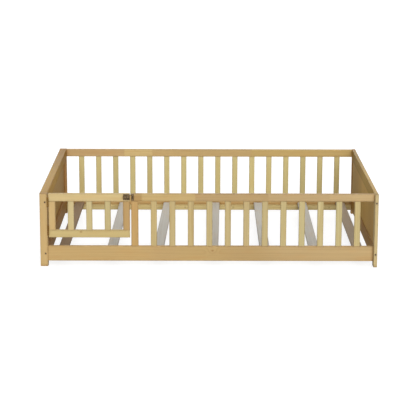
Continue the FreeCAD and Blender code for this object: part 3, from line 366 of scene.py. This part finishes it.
def sawn_timber(title):
    """A board cut from a log, with its own growth rings, fibres, knots and end grain."""
    tree, given, wanted = new_group(
        title,
        BOARD_SOCKETS
        + [("Board", "Float", 1), ("Tone", "Color", (0.6, 0.4, 0.2, 1)),
           ("Ring gap", "Float", 0.005), ("Figure", "Float", 0.5), ("Knots", "Float", 0.5),
           ("Blush", "Float", 0.5), ("Sheen", "Float", 0.5)],
        [("Color", "Color"), ("Roughness", "Float"), ("Height", "Float")])
    place = place_in_board(tree, given)
    facing = arrows(tree, "DOT_PRODUCT", put(tree, "TexCoord").outputs["Normal"], given["Along"])
    end = ramp(tree, sums(tree, "ABSOLUTE", facing), 0.6, 0.9)
    cut = put(tree, "TexWhiteNoise", None, given["Board"], noise_dimensions="1D").outputs["Color"]
    cut_along, cut_across, cut_deep = put(tree, "SeparateXYZ", cut).outputs
    log = arrows(tree, "MULTIPLY_ADD", cut, (LOG_SIDE, LOG_SIDE, LOG_SIDE), place)
    along, across, deep = put(tree, "SeparateXYZ", place).outputs

    knot_place = arrows(tree, "MULTIPLY", log, (0.6, 1, 0))
    cells = put(tree, "TexVoronoi", knot_place, voronoi_dimensions="2D")
    cells.inputs["Scale"].default_value = KNOT_CELLS
    reach = sums(tree, "DIVIDE", cells.outputs["Distance"], KNOT_CELLS)
    chance, size, _ = put(tree, "SeparateXYZ", cells.outputs["Color"]).outputs
    present = sums(tree, "GREATER_THAN", chance, KNOTLESS)
    spread = sums(tree, "POWER", sums(tree, "DIVIDE", reach, RING_REACH), 2)
    near = sums(tree, "EXPONENT", sums(tree, "MULTIPLY", spread, -1))
    bulge = sums(tree, "MULTIPLY", near, sums(tree, "MULTIPLY", present, RING_BULGE))
    knot_radius = sums(tree, "MULTIPLY_ADD", size, KNOT_SPAN, KNOT_LEAST)
    knot = sums(tree, "MULTIPLY", present, sums(tree, "LESS_THAN", reach, knot_radius))
    rim = ramp(tree, sums(tree, "SUBTRACT", reach, knot_radius), 0, KNOT_RIM, 1, 0)
    halo = sums(tree, "MULTIPLY", present, rim)

    wander = about_nought(tree, speckle(tree, log, WANDER_WAVES, 1), RING_WANDER)
    lean = sums(tree, "MULTIPLY", along, about_nought(tree, cut_along, HEART_SLOPE))
    heart_across = about_nought(tree, cut_across, HEART_ACROSS)
    heart_deep = sums(tree, "MULTIPLY_ADD", cut_deep, HEART_SPAN, HEART_NEAR)
    side = sums(tree, "ADD", sums(tree, "ADD", across, heart_across), wander)
    depth = sums(tree, "ADD", sums(tree, "ADD", deep, heart_deep), lean)
    depth_squared = sums(tree, "MULTIPLY", depth, depth)
    radius = sums(tree, "SQRT", sums(tree, "MULTIPLY_ADD", side, side, depth_squared))
    rings = sums(tree, "DIVIDE", sums(tree, "ADD", radius, bulge), given["Ring gap"])
    part = sums(tree, "FRACT", rings)
    year = sums(tree, "MULTIPLY_ADD", given["Board"], 13, sums(tree, "FLOOR", rings))
    vigour = put(tree, "TexWhiteNoise", None, year, noise_dimensions="1D").outputs["Value"]
    late = sums(tree, "MULTIPLY", ramp(tree, part, 0.3, 0.9), ramp(tree, part, 0.9, 1, 1, 0))
    late = sums(tree, "MULTIPLY", late, sums(tree, "MULTIPLY_ADD", vigour, 0.6, 0.4))

    fibre = speckle(tree, log, FIBRE_WAVES, 3)
    streak = speckle(tree, log, STREAK_WAVES, 2)
    cloud = speckle(tree, log, CLOUD_WAVES, 1)
    light = sums(tree, "MULTIPLY_ADD", fibre, 0.16, 0.78)
    light = sums(tree, "MULTIPLY_ADD", streak, 0.16, light)
    light = sums(tree, "MULTIPLY_ADD", cloud, 0.12, light)

    tone = given["Tone"]
    ringed = sums(tree, "MULTIPLY", late, given["Figure"])
    face = mixed(tree, ringed, tinted(tree, tone, EARLY_WOOD), tinted(tree, tone, LATE_WOOD))
    blush = ramp(tree, speckle(tree, log, BLUSH_WAVES, 2), 0.45, 0.75)
    blush = sums(tree, "MULTIPLY", blush, given["Blush"])
    face = mixed(tree, blush, face, tinted(tree, face, WARM_WOOD))
    face = arrows(tree, "SCALE", face, None, None, light)
    knotty = tinted(tree, tone, KNOT_WOOD)
    halo = sums(tree, "MULTIPLY", halo, sums(tree, "MULTIPLY", given["Knots"], 0.6))
    face = mixed(tree, halo, face, knotty)
    face = mixed(tree, sums(tree, "MULTIPLY", knot, given["Knots"]), face, knotty)
    feed(tree, wanted["Color"], mixed(tree, end, face, tinted(tree, face, END_GRAIN)))

    dull = sums(tree, "MULTIPLY_ADD", fibre, 0.14, sums(tree, "SUBTRACT", given["Sheen"], 0.07))
    feed(tree, wanted["Roughness"], sums(tree, "MULTIPLY_ADD", end, 0.12, dull))
    feed(tree, wanted["Height"], sums(tree, "MULTIPLY_ADD", late, 0.5, fibre))
    return tree


def rubbed_edge(title):
    """A broken band along the outer edges: rubbed metal on the hardware, painted shade on the boards.

    The edges are rounded in the model, so the normals part only a little and the band starts low.
    """
    tree, given, wanted = new_group(title, [("Width", "Float", 0.003)], [("Mask", "Float")])
    rounded = put(tree, "Bevel", given["Width"], samples=6).outputs[0]
    straight = put(tree, "NewGeometry").outputs["Normal"]
    bend = sums(tree, "SUBTRACT", 1.0, arrows(tree, "DOT_PRODUCT", rounded, straight))
    where = put(tree, "TexCoord").outputs["Object"]
    broken = speckle(tree, where, (38, 38, 38), 3)
    band = ramp(tree, bend, 0.001, 0.02)
    feed(tree, wanted["Mask"], sums(tree, "MULTIPLY", band, ramp(tree, broken, 0.2, 0.6)))
    return tree


def shaded_corner(title):
    """Painted shade where boards meet: darker in the corners, where less light reaches."""
    tree, given, wanted = new_group(title, [("Reach", "Float", 0.02)], [("Mask", "Float")])
    open_sky = put(tree, "AmbientOcclusion", samples=8)
    feed(tree, open_sky.inputs["Distance"], given["Reach"])
    feed(tree, wanted["Mask"], ramp(tree, open_sky.outputs["AO"], 0.35, 0.95, 1, 0))
    return tree


def coated_metal(title):
    """A coating over metal: mottled, and rubbed through along the edges."""
    tree, given, wanted = new_group(
        title,
        [("Coat", "Color", (0.1, 0.08, 0.06, 1)), ("Bare", "Color", (0.5, 0.4, 0.3, 1)),
         ("Edge", "Float", 0)],
        [("Color", "Color"), ("Roughness", "Float"), ("Height", "Float")])
    where = put(tree, "TexCoord").outputs["Object"]
    mottle = speckle(tree, where, (120, 120, 120), 3)
    grit = speckle(tree, where, (900, 900, 900), 2)
    patch = ramp(tree, mottle, 0.35, 0.75, 0, 0.45)
    rubbed = sums(tree, "MAXIMUM", patch, given["Edge"])
    coat = arrows(tree, "SCALE", given["Coat"], None, None,
                  sums(tree, "MULTIPLY_ADD", grit, 0.5, 0.75))
    feed(tree, wanted["Color"], mixed(tree, rubbed, coat, given["Bare"]))
    feed(tree, wanted["Roughness"], ramp(tree, rubbed, 0, 1, 0.46, 0.28))
    feed(tree, wanted["Height"], sums(tree, "MULTIPLY_ADD", grit, 0.4, mottle))
    return tree


# ---------------------------------------------------------------- materials


def new_material(name):
    """A material, its node tree and its Principled shader."""
    material = bpy.data.materials.new(name)
    material.use_nodes = True
    return material, material.node_tree, material.node_tree.nodes["Principled BSDF"]


def raised(tree, shader, height, distance):
    """Gives a shader the relief of a height."""
    bump = put(tree, "Bump")
    bump.inputs["Strength"].default_value = 0.7
    bump.inputs["Distance"].default_value = distance
    feed(tree, bump.inputs["Height"], height)
    feed(tree, shader.inputs["Normal"], bump.outputs[0])


def board_axes(node, grain=None):
    """A board's middle, the way its grain runs and the way its face is wide, from its box."""
    low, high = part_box(node)
    sides = high - low
    order = sorted(range(3), key=lambda axis: -sides[axis])
    if grain is not None:
        order.remove(grain)
        order.insert(0, grain)
    along, across = Vector(), Vector()
    along[order[0]] = 1
    across[order[1]] = 1
    return (low + high) / 2, along, across


BOARD_STEP = 1.7


def board_number(node):
    """A number of its own for each board, so that no two are cut alike."""
    return 3 + sorted(NODES).index(node) * BOARD_STEP


def uneven_tone(tree, node, tone, board):
    """The tone of a board that is glued up or that drifts in colour, in the ends partly as painted shade,
    and the number of its cut.
    """
    timber = bpy.context.scene.floor_bed_timber
    glued = node in GLUED
    (_, shade), *others = GLUED[node] if glued else DRIFTS_AND_PAINTED_SHADE[node]
    middle, along, across = board_axes(node)
    values = {"shade_1": shade}
    for n, (start, shade) in enumerate(others, start=2):
        values[f"start_{n}"] = start - middle.dot(along)
        values[f"shade_{n}"] = shade
    lengths = grouped(tree, glued_lengths, middle=middle, along=along, across=across, tone=tone,
                      joint=timber.joint if glued else 0.0,
                      blend=GLUE_BLEND if glued else timber.drift_reach, **values)
    if glued:
        board = sums(tree, "ADD", lengths["Number"], board)
    return lengths["Tone"], board


def timber_nodes(tree, shader, tone, axes, board, lacquered=True, reach=None):
    """A board of timber, lacquered or bare, between its axes and its shader."""
    timber = bpy.context.scene.floor_bed_timber
    middle, along, across = axes
    sawn = grouped(tree, sawn_timber, middle=middle, along=along, across=across, board=board,
                   tone=tone, ring_gap=timber.ring_gap, figure=timber.figure,
                   knots=timber.knots, blush=timber.blush,
                   sheen=timber.lacquer if lacquered else timber.bare)
    # Painted shade: a darker band along the rounded edges.
    edge = grouped(tree, rubbed_edge, width=timber.edge_width)["Mask"]
    # Painted shade: the board darkens where it meets another.
    corner = grouped(tree, shaded_corner, reach=reach or timber.corner_reach)["Mask"]
    edge = sums(tree, "MULTIPLY", edge, timber.edge_line)
    face = mixed(tree, edge, sawn["Color"], tinted(tree, tone, PAINTED_EDGE_TINT))
    corner = sums(tree, "MULTIPLY", corner, 0.85)
    face = mixed(tree, corner, face, tinted(tree, face, PAINTED_CORNER_TINT))
    feed(tree, shader.inputs["Base Color"], face)
    feed(tree, shader.inputs["Roughness"], sawn["Roughness"])
    shader.inputs["Specular IOR Level"].default_value = 0.02
    raised(tree, shader, sawn["Height"], timber.relief)
    arrange(tree)


METAL_EDGE = 0.0012  # width of the rubbed band along an edge
METAL_RELIEF = 0.00012  # height of the coating's grit


def metal_material(name, coat, bare):
    """Metal under a coating or a plating."""
    material, tree, shader = new_material(name)
    edge = grouped(tree, rubbed_edge, width=METAL_EDGE)["Mask"]
    metal = grouped(tree, coated_metal, coat=coat, bare=bare, edge=edge)
    feed(tree, shader.inputs["Base Color"], metal["Color"])
    feed(tree, shader.inputs["Roughness"], metal["Roughness"])
    shader.inputs["Metallic"].default_value = 0.85
    raised(tree, shader, metal["Height"], METAL_RELIEF)
    arrange(tree)
    return material


def dress(node, material):
    """Gives a piece its material."""
    for slot in NODES[node].material_slots:
        slot.material = material


def dress_board(node, tone, grain=None, lacquered=True, reach=None):
    """Gives one board its own cut of timber."""
    tone = [level * shade for level, shade in zip(tone, SHADES.get(node, (1, 1, 1)))]
    board = board_number(node)
    material, tree, shader = new_material(f"Timber {node}")
    if node in GLUED or node in DRIFTS_AND_PAINTED_SHADE:
        tone, board = uneven_tone(tree, node, tone, board)
    timber_nodes(tree, shader, tone, board_axes(node, grain), board, lacquered, reach)
    dress(node, material)


def nodes_named(start):
    """The pieces whose names start so, in order."""
    return sorted(node for node in NODES if node.startswith(start))


# ---------------------------------------------------------------- pieces

# The colour of single boards as a share of the colour of their kind.
SHADES = {
    "gate_bottom_rail": (0.90, 0.91, 0.84), "gate_slat_2": (0.95, 0.97, 0.97),
    "gate_slat_3": (0.87, 0.87, 0.83), "front_slat_01": (0.93, 0.90, 0.88),
    "front_slat_02": (0.90, 0.89, 0.92), "front_slat_03": (0.92, 0.89, 0.89),
    "front_slat_04": (0.90, 0.90, 0.94), "front_slat_05": (0.93, 0.92, 0.95),
    "front_slat_06": (0.90, 0.89, 0.94), "front_slat_07": (0.91, 0.91, 0.96),
    "front_slat_08": (0.94, 0.95, 0.98), "front_slat_09": (0.92, 0.97, 1.03),
    "front_slat_10": (0.99, 1.02, 1.07), "front_slat_11": (0.96, 1.01, 1.06),
    "front_slat_12": (0.96, 0.96, 0.97), "floor_slat_4": (0.96, 0.94, 0.92),
}
# The fences' top rails are glued up from shorter lengths of timber: where each starts along X, and
# its colour as a share of the rail's.
GLUED = {
    "front_top_rail": (
        (-0.460, (0.87, 0.86, 0.80)), (-0.392, (1.05, 1.12, 1.10)), (-0.077, (0.90, 0.92, 0.98)),
        (0.353, (0.99, 1.04, 1.16)), (0.716, (1.03, 1.09, 1.22))),
    "back_top_rail": (
        (-0.955, (0.97, 0.94, 1.00)), (-0.560, (1.08, 1.14, 1.15)), (-0.370, (0.95, 0.95, 0.95)),
        (0.300, (1.00, 1.03, 0.94))),
}
# Whole boards whose colour drifts along them: where each colour takes over, along X or, in the ends,
# along Y. The ends grow darker towards the back: partly the timber's colour, partly painted shade.
DRIFTS_AND_PAINTED_SHADE = {
    "front_bottom_rail": (
        (-0.955, (1.03, 1.04, 1.00)), (-0.338, (0.97, 0.98, 0.99)), (-0.202, (0.98, 1.00, 0.97)),
        (0.082, (0.94, 0.95, 0.95)), (0.369, (0.99, 1.03, 1.10))),
    "left_top_rail": (
        (-0.715, (1.15, 1.12, 1.05)), (-0.200, (1.10, 1.09, 1.00)), (0.050, (0.97, 0.94, 0.85)),
        (0.250, (0.86, 0.80, 0.66)), (0.450, (0.83, 0.74, 0.58))),
    "right_top_rail": (
        (-0.715, (1.08, 1.05, 1.00)), (-0.200, (1.10, 1.10, 1.00)), (0.030, (0.94, 0.90, 0.82)),
        (0.200, (0.85, 0.82, 0.74)), (0.450, (0.77, 0.72, 0.63))),
    "left_panel": (
        (-0.715, (1.05, 1.05, 1.00)), (0.000, (1.00, 1.00, 0.96)), (0.360, (0.93, 0.92, 0.84)),
        (0.500, (0.86, 0.81, 0.70))),
    "right_panel": (
        (-0.715, (1.05, 1.05, 1.02)), (-0.350, (1.15, 1.16, 1.10)), (0.100, (1.00, 1.00, 0.97)),
        (0.250, (0.91, 0.89, 0.87)), (0.400, (0.83, 0.83, 0.80))),
}
BACK_SLAT_COUNT = 16
UPRIGHT = 2  # the axis of Z, which the grain of the panels follows


class FLOORBED_OT_posts(bpy.types.Operator):
    """Finish the four corner posts and the post that the gate closes on"""

    bl_idname = "floor_bed.posts"
    bl_label = "Posts"
    bl_options = {"REGISTER", "UNDO"}

    def execute(self, context):
        timber = context.scene.floor_bed_timber
        dress_board("left_front_post", timber.left_post)
        dress_board("right_front_post", timber.right_post)
        dress_board("left_rear_post", timber.rear_post)
        dress_board("right_rear_post", timber.rear_post)
        dress_board("gate_post", timber.gate_post)
        return {"FINISHED"}


class FLOORBED_OT_ends(bpy.types.Operator):
    """Finish the rails and the panels of both ends"""

    bl_idname = "floor_bed.ends"
    bl_label = "Ends"
    bl_options = {"REGISTER", "UNDO"}

    def execute(self, context):
        timber = context.scene.floor_bed_timber
        for end in ("left", "right"):
            dress_board(f"{end}_top_rail", getattr(timber, f"{end}_top_rail"))
            dress_board(f"{end}_bottom_rail", getattr(timber, f"{end}_low_rail"))
            dress_board(f"{end}_panel", getattr(timber, f"{end}_panel"), grain=UPRIGHT)
        return {"FINISHED"}


class FLOORBED_OT_fence_rails(bpy.types.Operator):
    """Finish the rails of the front and back fences"""

    bl_idname = "floor_bed.fence_rails"
    bl_label = "Fence rails"
    bl_options = {"REGISTER", "UNDO"}

    def execute(self, context):
        timber = context.scene.floor_bed_timber
        for level in ("top", "bottom"):
            dress_board(f"front_{level}_rail", timber.fence_rail)
            dress_board(f"back_{level}_rail", timber.back_rail)
        return {"FINISHED"}


class FLOORBED_OT_fence_slats(bpy.types.Operator):
    """Finish the upright slats of both fences"""

    bl_idname = "floor_bed.fence_slats"
    bl_label = "Fence slats"
    bl_options = {"REGISTER", "UNDO"}

    def execute(self, context):
        timber = context.scene.floor_bed_timber
        for node in nodes_named("front_slat_"):
            dress_board(node, timber.slat)
        dress("back_slats", self.row_material(timber.back_slat))
        return {"FINISHED"}

    def row_material(self, tone):
        """The back slats are one node: each slat finds its own middle along the row."""
        low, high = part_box("back_slats")
        slat_low, slat_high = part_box("front_slat_01")
        wide = slat_high.x - slat_low.x
        pitch = (high.x - low.x - wide) / (BACK_SLAT_COUNT - 1)
        first = Vector((low.x + wide / 2, (low.y + high.y) / 2, (low.z + high.z) / 2))
        material, tree, shader = new_material("Timber back_slats")
        number, middle = nearest_board(tree, first, pitch)
        board = sums(tree, "MULTIPLY_ADD", number, BOARD_STEP, 2.0)
        chance = put(tree, "TexWhiteNoise", None, board, noise_dimensions="1D").outputs["Value"]
        shade = sums(tree, "MULTIPLY_ADD", chance, 0.12, 0.94)
        tone = arrows(tree, "SCALE", tone, None, None, shade)
        timber_nodes(tree, shader, tone, (middle, Vector((0, 0, 1)), Vector((1, 0, 0))), board)
        return material


class FLOORBED_OT_deck(bpy.types.Operator):
    """Finish the ledges and the floor slats on them"""

    bl_idname = "floor_bed.deck"
    bl_label = "Deck"
    bl_options = {"REGISTER", "UNDO"}

    def execute(self, context):
        timber = context.scene.floor_bed_timber
        dress_board("front_ledge", timber.ledge, reach=timber.ledge_reach)
        dress_board("back_ledge", timber.ledge, reach=timber.ledge_reach)
        first, *between, last = nodes_named("floor_slat_")
        dress_board(first, timber.left_floor_slat, lacquered=False)
        dress_board(last, timber.right_floor_slat, lacquered=False)
        for node in between:
            dress_board(node, timber.floor_slat, lacquered=False)
        return {"FINISHED"}


class FLOORBED_OT_gate(bpy.types.Operator):
    """Finish the rails, the stiles and the slats of the gate"""

    bl_idname = "floor_bed.gate"
    bl_label = "Gate"
    bl_options = {"REGISTER", "UNDO"}

    def execute(self, context):
        timber = context.scene.floor_bed_timber
        for node in ("gate_top_rail", "gate_bottom_rail"):
            dress_board(node, timber.gate_rail)
        dress_board("gate_hinge_stile", timber.hinge_stile)
        dress_board("gate_latch_stile", timber.latch_stile)
        for node in nodes_named("gate_slat_"):
            dress_board(node, timber.gate_slat)
        return {"FINISHED"}


class FLOORBED_OT_hinges(bpy.types.Operator):
    """Finish the leaves and the pins of the two hinges"""

    bl_idname = "floor_bed.hinges"
    bl_label = "Hinges"
    bl_options = {"REGISTER", "UNDO"}

    def execute(self, context):
        metal = context.scene.floor_bed_metal
        material = metal_material("Hinge brass", metal.brass, metal.brass_worn)
        for node in nodes_named("upper_hinge_") + nodes_named("lower_hinge_"):
            dress(node, material)
        return {"FINISHED"}


class FLOORBED_OT_latch(bpy.types.Operator):
    """Finish the latch, its sliding bolt and the keeper"""

    bl_idname = "floor_bed.latch"
    bl_label = "Latch"
    bl_options = {"REGISTER", "UNDO"}

    def execute(self, context):
        metal = context.scene.floor_bed_metal
        material = metal_material("Latch bronze", metal.bronze, metal.bronze_worn)
        for node in nodes_named("latch_"):
            dress(node, material)
        return {"FINISHED"}


class FLOORBED_OT_fasteners(bpy.types.Operator):
    """Finish the bolts, the cross nuts and the screws"""

    bl_idname = "floor_bed.fasteners"
    bl_label = "Fasteners"
    bl_options = {"REGISTER", "UNDO"}

    def execute(self, context):
        metal = context.scene.floor_bed_metal
        finishes = {
            "Blackened steel": (metal.black, metal.black_worn,
                                ("post_bolts", "rail_bolts", "barrel_nuts")),
            "Yellow zinc": (metal.yellow_zinc, metal.yellow_zinc_worn, ("floor_screws",)),
            "Screw bronze": (metal.bronze, metal.bronze_worn,
                             ("post_hinge_screws", "gate_hinge_screws")),
        }
        for name, (coat, bare, nodes) in finishes.items():
            material = metal_material(name, coat, bare)
            for node in nodes:
                dress(node, material)
        return {"FINISHED"}


# ---------------------------------------------------------------- stage


def lamp(name, kind, place, target, strength, **settings):
    """A soft lamp that faces a point and that the camera doesn't see."""
    data = bpy.data.lights.new(name, kind)
    data.energy = strength
    for setting, value in settings.items():
        setattr(data, setting, value)
    lit = bpy.data.objects.new(name, data)
    lit.location = place
    lit.rotation_mode = "QUATERNION"
    lit.rotation_quaternion = (Vector(target) - Vector(place)).to_track_quat("-Z", "Y")
    lit.visible_camera = False
    bpy.context.scene.collection.objects.link(lit)


def seen_directly(tree):
    """1 where the camera sees a surface, straight, in a gloss or through glass."""
    rays = put(tree, "LightPath").outputs
    straight = sums(tree, "MAXIMUM", rays["Is Camera Ray"], rays["Is Glossy Ray"])
    return sums(tree, "MAXIMUM", straight, rays["Is Transmission Ray"])


class FLOORBED_OT_stage(bpy.types.Operator):
    """Set the pale floor, the soft lamps and the camera"""

    bl_idname = "floor_bed.stage"
    bl_label = "Stage"
    bl_options = {"REGISTER", "UNDO"}

    def execute(self, context):
        stage = context.scene.floor_bed_stage
        self.floor(stage)
        self.sky(context.scene, stage)
        middle = (0, 0, 0.2)
        lamp("Key", "SUN", (1.5, -8.9, 4.5), middle, stage.key, angle=math.radians(60))
        lamp("Back", "SUN", (0, 8.0, 1.7), middle, stage.back, angle=math.radians(40))
        for name, x in (("Left side", -3.4), ("Right side", 3.4)):
            lamp(name, "AREA", (x, 0, 0.5), (0, 0, 0.3), stage.side, shape="RECTANGLE",
                 size=1.8, size_y=0.6)
        self.camera(context.scene, stage)
        return {"FINISHED"}

    def floor(self, stage):
        """A wide pale floor that keeps the bed's shadow."""
        half = 40.0
        mesh = bpy.data.meshes.new("Floor")
        corners = [(-half, -half, 0), (half, -half, 0), (half, half, 0), (-half, half, 0)]
        mesh.from_pydata(corners, [], [(0, 1, 2, 3)])
        ground = bpy.data.objects.new("Floor", mesh)
        bpy.context.scene.collection.objects.link(ground)
        material, tree, shader = new_material("Pale floor")
        shader.inputs["Base Color"].default_value = opaque(stage.floor)
        shader.inputs["Roughness"].default_value = 0.9
        lift = sums(tree, "MULTIPLY", seen_directly(tree), stage.floor_lift)
        shader.inputs["Emission Color"].default_value = (1, 1, 1, 1)
        feed(tree, shader.inputs["Emission Strength"], lift)
        mesh.materials.append(material)

    def sky(self, scene, stage):
        """Even light all round, which the camera sees as white."""
        world = bpy.data.worlds.new("Studio")
        world.use_nodes = True
        tree = world.node_tree
        strength = put(tree, "MapRange", seen_directly(tree), 0.0, 1.0, stage.sky, 1.0)
        background = tree.nodes["Background"]
        background.inputs["Color"].default_value = (1, 1, 1, 1)
        feed(tree, background.inputs["Strength"], strength.outputs[0])
        scene.world = world

    def camera(self, scene, stage):
        """The photograph's camera."""
        data = bpy.data.cameras.new("Camera")
        data.sensor_width = 36.0
        data.lens = stage.lens
        data.clip_start, data.clip_end = 0.1, 200.0
        eye = bpy.data.objects.new("Camera", data)
        turn = (Matrix.Rotation(-stage.yaw, 4, "Z")
                @ Matrix.Rotation(math.pi / 2 - stage.pitch, 4, "X")
                @ Matrix.Rotation(stage.roll, 4, "Z"))
        eye.matrix_world = Matrix.Translation(stage.camera_place) @ turn
        scene.collection.objects.link(eye)
        scene.camera = eye
        scene.view_settings.view_transform = "Standard"


# ---------------------------------------------------------------- panel and running

STEPS = (FLOORBED_OT_posts, FLOORBED_OT_ends, FLOORBED_OT_fence_rails, FLOORBED_OT_fence_slats,
         FLOORBED_OT_deck, FLOORBED_OT_gate, FLOORBED_OT_hinges, FLOORBED_OT_latch,
         FLOORBED_OT_fasteners, FLOORBED_OT_stage)


class FLOORBED_PT_sidebar(bpy.types.Panel):
    """Lists the steps and the settings."""

    bl_idname = "FLOORBED_PT_sidebar"
    bl_label = "Floor Bed"
    bl_space_type = "VIEW_3D"
    bl_region_type = "UI"
    bl_category = "Floor Bed"

    def draw(self, context):
        layout = self.layout
        for step in STEPS:
            layout.operator(step.bl_idname)
        for group in (context.scene.floor_bed_timber, context.scene.floor_bed_metal,
                      context.scene.floor_bed_stage):
            box = layout.box()
            for name in group.__annotations__:
                box.prop(group, name)


SETTINGS = {"floor_bed_timber": FloorBedTimber, "floor_bed_metal": FloorBedMetal,
            "floor_bed_stage": FloorBedStage}


def register():
    for kind in (*SETTINGS.values(), *STEPS, FLOORBED_PT_sidebar):
        bpy.utils.register_class(kind)
    for name, kind in SETTINGS.items():
        setattr(bpy.types.Scene, name, PointerProperty(type=kind))


def unregister():
    for name in SETTINGS:
        delattr(bpy.types.Scene, name)
    for kind in reversed((*SETTINGS.values(), *STEPS, FLOORBED_PT_sidebar)):
        bpy.utils.unregister_class(kind)


def main():
    """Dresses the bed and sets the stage."""
    register()
    for step in STEPS:
        family, name = step.bl_idname.split(".")
        getattr(getattr(bpy.ops, family), name)()


if __name__ == "__main__":
    main()
